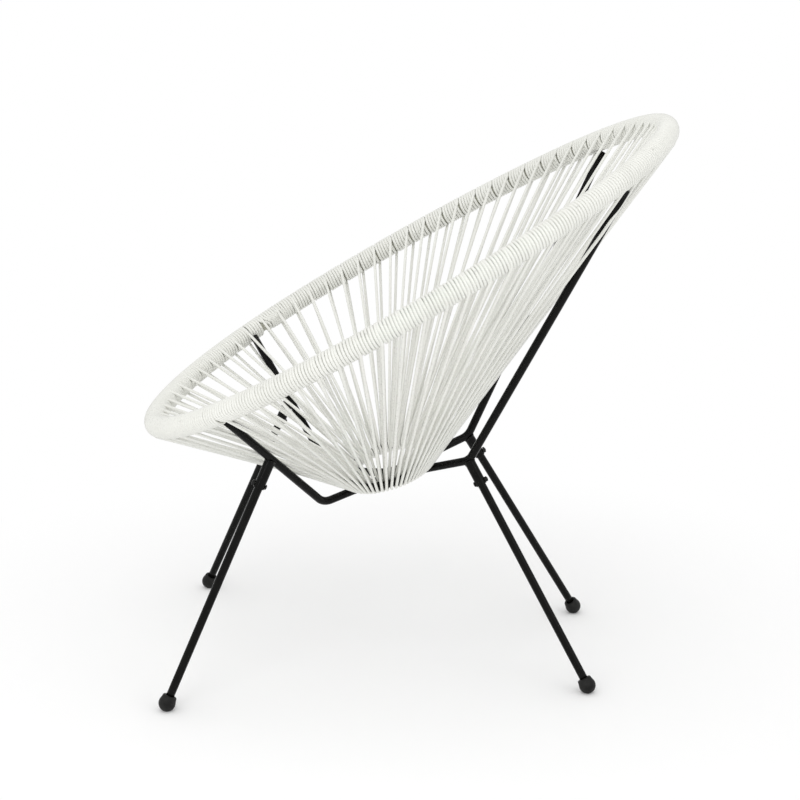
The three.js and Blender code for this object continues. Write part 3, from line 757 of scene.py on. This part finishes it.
def leg_place(side, end):
    """A leg's own frame at its place on a rod, its length and the rod's run there in that frame.

    Z points up the leg, and Y along its bolt.
    """
    front_end, front, waist, rear, rear_end = rod_corners(side)
    if end == "front":
        top, run = front.lerp(front_end, FRONT_LEG_SHARE), (front_end - front).normalized()
        foot_x, foot_y = FRONT_FOOT
    else:
        # The middle of the rod's rounded bend
        back, on = (waist - rear).normalized(), (rear_end - rear).normalized()
        inset = BEND_RADII[2] / math.sin(back.angle(on) / 2) - BEND_RADII[2]
        top, run = rear + (back + on).normalized() * inset, (on - back).normalized()
        foot_x, foot_y = REAR_FOOT
    foot = Vector((side * foot_x, foot_y, FOOT - FOOT_PRESS))
    up = (top - foot).normalized()
    across = (Vector((1, 0, 0)) - up * up.x).normalized()
    through = up.cross(across)
    place = Matrix.Translation(top) @ Matrix((across, through, up)).transposed().to_4x4()
    local_run = Vector((run.dot(across), run.dot(through), run.dot(up)))
    return place, (top - foot).length, local_run


def saddle(x, y, run):
    """How high a wall beside a leg's axis reaches before it meets the rod above it."""
    along = x * run.x + y * run.y
    square = 1 - run.z * run.z
    inside = (run.z * along) ** 2 - square * (x * x + y * y - along * along - ROD * ROD)
    height = (run.z * along - math.sqrt(max(0.0, inside))) / square
    return min(height, -SLEEVE_DROP * SADDLE_SHARE)


def build_sleeve(name, place, run, reach, seed):
    verts, faces = [], []
    angles = [TURN * k / SLEEVE_STEPS for k in range(SLEEVE_STEPS)]
    rings = [[(radius, height - reach)] * SLEEVE_STEPS for radius, height in SLEEVE_LIP]
    low = rings[-1][0][1]
    tops = [saddle(SLEEVE * math.cos(angle), SLEEVE * math.sin(angle), run) for angle in angles]
    for row in range(1, SLEEVE_ROWS + 1):
        part = row / SLEEVE_ROWS
        rings.append([(SLEEVE, low * (1 - part) + top * part) for top in tops])
    for i, ring in enumerate(rings):
        for angle, (radius, height) in zip(angles, ring):
            verts.append(place @ on_circle(radius, angle, height))
        if i:
            join_rings((i - 1) * SLEEVE_STEPS, i * SLEEVE_STEPS, SLEEVE_STEPS, faces)
    # The weld bead round the top, where the sleeve meets the rod
    centres = []
    for k in range(SLEEVE_STEPS + 1):
        height = tops[k % SLEEVE_STEPS] - SLEEVE_BEAD_DOWN
        centres.append(place @ on_circle(SLEEVE - SLEEVE_BEAD_IN, TURN * k / SLEEVE_STEPS, height))
    bead(centres, SLEEVE_BEAD, seed, verts, faces)
    add_piece(name + "_sleeve", name + "_leg_socket", verts, faces, PAINT_LOOK)


def build_fasteners(name, place, reach, end):
    # The bolts' heads face back at the front legs and forward at the rear legs
    side_turn = Matrix.Rotation(math.pi, 4, "Z") if end == "rear" else Matrix.Identity(4)
    # The bolt's own frame: Z out through its head
    frame_at = place @ Matrix.Translation((0, 0, -(reach - BOLT_SETBACK))) @ side_turn
    outward = frame_at @ Matrix.Rotation(-math.pi / 2, 4, "X")
    seat = SLEEVE + GAP
    tail = -(seat + NUT_HEIGHT + BOLT_TAIL)
    dome_height = BOLT_HEAD_HEIGHT - BOLT_DOME_START
    profile = [(0, tail)]
    profile += [(BOLT - inset, tail + rise) for inset, rise in BOLT_TIP]
    profile.append((BOLT, SHANK_RING - seat))
    profile += [(radius, seat + rise) for radius, rise in BOLT_NECK]
    for k in range(BOLT_DOME_STEPS + 1):
        angle = math.pi / 2 * k / BOLT_DOME_STEPS
        radius = BOLT_HEAD * math.cos(angle) ** BOLT_DOME_POWER if k < BOLT_DOME_STEPS else 0
        profile.append((radius, seat + BOLT_DOME_START + dome_height * math.sin(angle)))
    verts, faces = [], []
    turned(profile, BOLT_STEPS, outward, verts, faces)
    add_piece(name + "_cross_bolt", name + "_leg_bolt", verts, faces, FASTENER_LOOK)

    verts, faces = [], []
    bevel = NUT_FLATS / 2 * NUT_BEVEL_SHARE
    for ring in range(5):
        for k in range(NUT_STEPS):
            angle = TURN * k / NUT_STEPS
            # Corners point along the leg's X, so flats face up and down the leg
            from_corner = (angle + math.pi / 6) % (math.pi / 3) - math.pi / 6
            edge = NUT_FLATS / 2 / math.cos(math.pi / 6 - abs(from_corner))
            fall = (edge - bevel) * NUT_BEVEL_FALL
            radius, height = ((BOLT + NUT_FIT, 0.0), (edge, 0.0), (edge, NUT_HEIGHT - fall),
                              (bevel, NUT_HEIGHT), (BOLT + NUT_FIT, NUT_HEIGHT))[ring]
            verts.append(outward @ on_circle(radius, angle, -(seat + height)))
        if ring:
            join_rings((ring - 1) * NUT_STEPS, ring * NUT_STEPS, NUT_STEPS, faces, flip=True)
    add_piece(name + "_hexagon_nut", name + "_leg_nut", verts, faces, FASTENER_LOOK,
              smooth=False)


def build_foot(name, place, length):
    profile = []
    for k in range(FOOT_DOME_STEPS + 1):
        angle = math.pi / 2 * (k / FOOT_DOME_STEPS - 1)
        profile.append((FOOT * math.cos(angle) if k else 0, FOOT * math.sin(angle)))
    profile += FOOT_SIDE
    verts, faces = [], []
    turned(profile, FOOT_STEPS, place @ Matrix.Translation((0, 0, -length)), verts, faces)
    # Pressed flat on the floor
    for p in verts:
        p.z = max(p.z, 0.0)
    add_piece(name + "_cap", name + "_foot", verts, faces, RUBBER_LOOK)


def build_leg(side, word, end):
    name = "%s_%s" % (end, word)
    place, length, run = leg_place(side, end)
    reach = FRONT_REACH if end == "front" else REAR_REACH
    bottom = -length + FOOT_SHOULDER - FOOT_SOCKET_DEPTH + GAP
    top = -(ROD + LEG_TOP_GAP)
    verts, faces = [], []
    points = [place @ Vector((0, 0, bottom + (top - bottom) * k / LEG_STEPS))
              for k in range(LEG_STEPS + 1)]
    sweep(points, [LEG_OVER] * len(points), LEG, BAR_SIDES, verts, faces)
    add_piece(name + "_bar", name + "_leg", verts, faces, PAINT_LOOK)
    build_sleeve(name, place, run, reach, side * 3 + (end == "rear"))
    build_fasteners(name, place, reach, end)
    build_foot(name, place, length)


for side, word in SIDES:
    for end in ("front", "rear"):
        build_leg(side, word, end)


# The studio, in metres: a pale floor that is white far off, soft lights, and the camera

FLOOR_SIZE, FLOOR_TONE, FLOOR_ROUGHNESS = 60.0, 0.945, 0.9
# Distances from the chair's middle between which the floor fades to white
FADE_START, FADE_END = 0.35, 1.0
SKY_STRENGTH = 0.88
WHITE = (1, 1, 1, 1)
# Each lamp's name, place, target, size and watts
LAMPS = (
    ("key", (2.0, -0.5, 2.7), (0, 0, 0.4), (1.6, 1.6), 10),
    ("fill", (1.8, 2.2, 1.8), (0, 0, 0.4), (1.8, 1.8), 8),
    ("top", (-0.6, 0.0, 3.2), (0, 0, 0.3), (2.4, 2.4), 5),
    ("strip", (2.45, -0.9, 1.3), (0, 0, 0.45), (1.8, 0.12), 10))

# The photograph's camera: focal length, picture width and middle in pixels, angles in radians
FOCAL, PICTURE_WIDTH, MIDDLE_X = 1845.9, 800.0, 398.9
YAW, PITCH_DOWN, ROLL = -0.0225, 0.2643, 0.0077
CAMERA_PLACE = (2.8025, 0.0533, 1.1765)
SENSOR, CLIP_END = 36, 100


def math_node(nodes, links, operation, a, b):
    node = nodes.new("ShaderNodeMath")
    node.operation = operation
    links.new(a, node.inputs[0])
    links.new(b, node.inputs[1])
    return node.outputs[0]


def build_floor():
    mesh = bpy.data.meshes.new("floor")
    s = FLOOR_SIZE
    mesh.from_pydata([(-s, -s, 0), (s, -s, 0), (s, s, 0), (-s, s, 0)], [], [(0, 1, 2, 3)])
    floor = bpy.data.objects.new("floor", mesh)
    bpy.context.scene.collection.objects.link(floor)
    material = bpy.data.materials.new("floor")
    material.use_nodes = True
    nodes, links = material.node_tree.nodes, material.node_tree.links
    shader = nodes["Principled BSDF"]
    shader.inputs["Base Color"].default_value = (FLOOR_TONE, FLOOR_TONE, FLOOR_TONE, 1)
    shader.inputs["Roughness"].default_value = FLOOR_ROUGHNESS
    shader.inputs["Specular IOR Level"].default_value = 0.0
    white = nodes.new("ShaderNodeEmission")
    white.inputs["Color"].default_value = WHITE
    white.inputs["Strength"].default_value = 1.0
    # White far off, for the camera and for mirrored rays alone
    length = nodes.new("ShaderNodeVectorMath")
    length.operation = "LENGTH"
    links.new(nodes.new("ShaderNodeTexCoord").outputs["Object"], length.inputs[0])
    fade = nodes.new("ShaderNodeMapRange")
    fade.interpolation_type = "SMOOTHSTEP"
    fade.inputs["From Min"].default_value = FADE_START
    fade.inputs["From Max"].default_value = FADE_END
    links.new(length.outputs["Value"], fade.inputs["Value"])
    rays = nodes.new("ShaderNodeLightPath").outputs
    seen = math_node(nodes, links, "MAXIMUM", rays["Is Camera Ray"], rays["Is Glossy Ray"])
    share = math_node(nodes, links, "MULTIPLY", seen, fade.outputs["Result"])
    mix = nodes.new("ShaderNodeMixShader")
    links.new(share, mix.inputs["Fac"])
    links.new(shader.outputs["BSDF"], mix.inputs[1])
    links.new(white.outputs["Emission"], mix.inputs[2])
    links.new(mix.outputs["Shader"], nodes["Material Output"].inputs["Surface"])
    floor.data.materials.append(material)


build_floor()


def area_light(name, place, target, size, watts):
    data = bpy.data.lights.new(name, "AREA")
    data.shape = "RECTANGLE"
    data.size, data.size_y = size
    data.energy = watts
    lamp = bpy.data.objects.new(name, data)
    lamp.location = place
    lamp.rotation_euler = (Vector(target) - Vector(place)).to_track_quat("-Z", "Y").to_euler()
    bpy.context.scene.collection.objects.link(lamp)


for lamp in LAMPS:
    area_light(*lamp)


def build_world():
    """A soft sky that lights the chair, seen by the camera as plain white."""
    world = bpy.data.worlds.new("studio")
    bpy.context.scene.world = world
    world.use_nodes = True
    nodes, links = world.node_tree.nodes, world.node_tree.links
    sky, camera_white = nodes["Background"], nodes.new("ShaderNodeBackground")
    for background, strength in ((sky, SKY_STRENGTH), (camera_white, 1.0)):
        background.inputs["Color"].default_value = WHITE
        background.inputs["Strength"].default_value = strength
    rays = nodes.new("ShaderNodeLightPath").outputs
    mix = nodes.new("ShaderNodeMixShader")
    links.new(rays["Is Camera Ray"], mix.inputs["Fac"])
    links.new(sky.outputs["Background"], mix.inputs[1])
    links.new(camera_white.outputs["Background"], mix.inputs[2])
    links.new(mix.outputs["Shader"], nodes["World Output"].inputs["Surface"])


build_world()


def build_camera():
    level = math.cos(PITCH_DOWN)
    forward = Vector((-level * math.cos(YAW), level * math.sin(YAW), -math.sin(PITCH_DOWN)))
    flat_right = forward.cross(Vector((0, 0, 1))).normalized()
    flat_up = flat_right.cross(forward)
    right = flat_right * math.cos(ROLL) + flat_up * math.sin(ROLL)
    up = flat_up * math.cos(ROLL) - flat_right * math.sin(ROLL)
    data = bpy.data.cameras.new("camera")
    data.sensor_width = SENSOR
    data.lens = SENSOR * FOCAL / PICTURE_WIDTH
    data.shift_x = (PICTURE_WIDTH / 2 - MIDDLE_X) / PICTURE_WIDTH
    data.clip_end = CLIP_END
    camera = bpy.data.objects.new("camera", data)
    turn = Matrix((right, up, -forward)).transposed().to_4x4()
    camera.matrix_world = Matrix.Translation(CAMERA_PLACE) @ turn
    bpy.context.scene.collection.objects.link(camera)
    bpy.context.scene.camera = camera


build_camera()
bpy.context.scene.view_settings.view_transform = "Standard"

bpy.context.view_layer.update()
